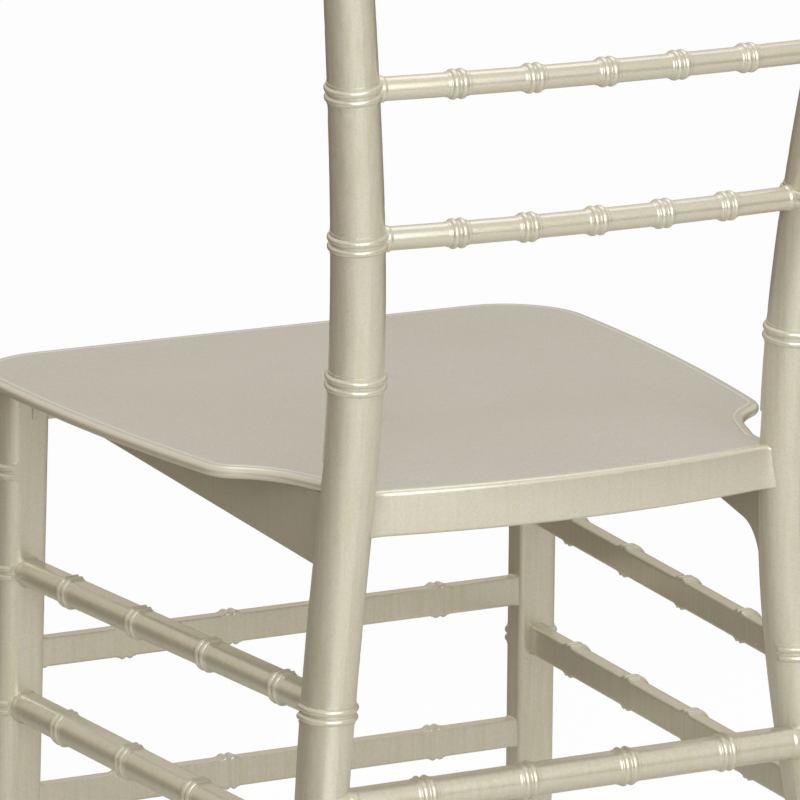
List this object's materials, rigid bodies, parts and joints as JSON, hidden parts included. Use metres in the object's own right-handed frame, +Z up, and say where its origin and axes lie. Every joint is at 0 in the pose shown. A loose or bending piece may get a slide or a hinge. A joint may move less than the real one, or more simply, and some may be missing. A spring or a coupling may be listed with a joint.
{
  "type": "chiavari chair",
  "caption": "Stacking banquet chair of moulded resin: cane-style rings on posts, rungs and stretchers, a thin flat seat and a high bowed back.",
  "frame": {"origin": "on the floor, midway between the foremost and the rearmost place and midway between the sides", "axes": "+Z up, the sitter faces -Y, +X towards the sitter's left"},
  "size_m": [0.419, 0.4922, 0.912],
  "materials": {
    "resin_frame": "satin champagne resin, smooth and lightly glossy",
    "resin_back": "satin champagne resin, smooth and lightly glossy",
    "resin_seat": "satin champagne resin with a faint grain",
    "resin_rails": "satin champagne resin, smooth",
    "glide_plastic": "dull grey-beige plastic, scuffed by the floor",
    "screw_steel": "zinc-plated steel"
  },
  "bodies": {
    "root": {"rear_post_left": "resin_frame", "rear_post_right": "resin_frame", "front_leg_left": "resin_frame", "front_leg_right": "resin_frame", "front_stretcher_lower": "resin_frame", "front_stretcher_upper": "resin_frame", "side_stretcher_lower_left": "resin_frame", "side_stretcher_lower_right": "resin_frame", "side_stretcher_upper_left": "resin_frame", "side_stretcher_upper_right": "resin_frame", "rear_stretcher": "resin_frame", "back_rung_lower": "resin_back", "back_rung_middle": "resin_back", "back_rung_upper": "resin_back", "crest_rail": "resin_back", "back_spindle_1": "resin_back", "back_spindle_2": "resin_back", "back_spindle_3": "resin_back", "back_spindle_4": "resin_back", "back_spindle_5": "resin_back", "back_spindle_6": "resin_back", "seat_panel": "resin_seat", "front_seat_rail": "resin_rails", "rear_seat_rail": "resin_rails", "side_seat_rail_left": "resin_rails", "side_seat_rail_right": "resin_rails", "corner_block_front_left": "resin_rails", "corner_block_front_right": "resin_rails", "corner_block_rear_left": "resin_rails", "corner_block_rear_right": "resin_rails", "seat_screws": "screw_steel", "foot_glide_front_left": "glide_plastic", "foot_glide_front_right": "glide_plastic", "foot_glide_rear_left": "glide_plastic", "foot_glide_rear_right": "glide_plastic"}
  },
  "joints": []
}
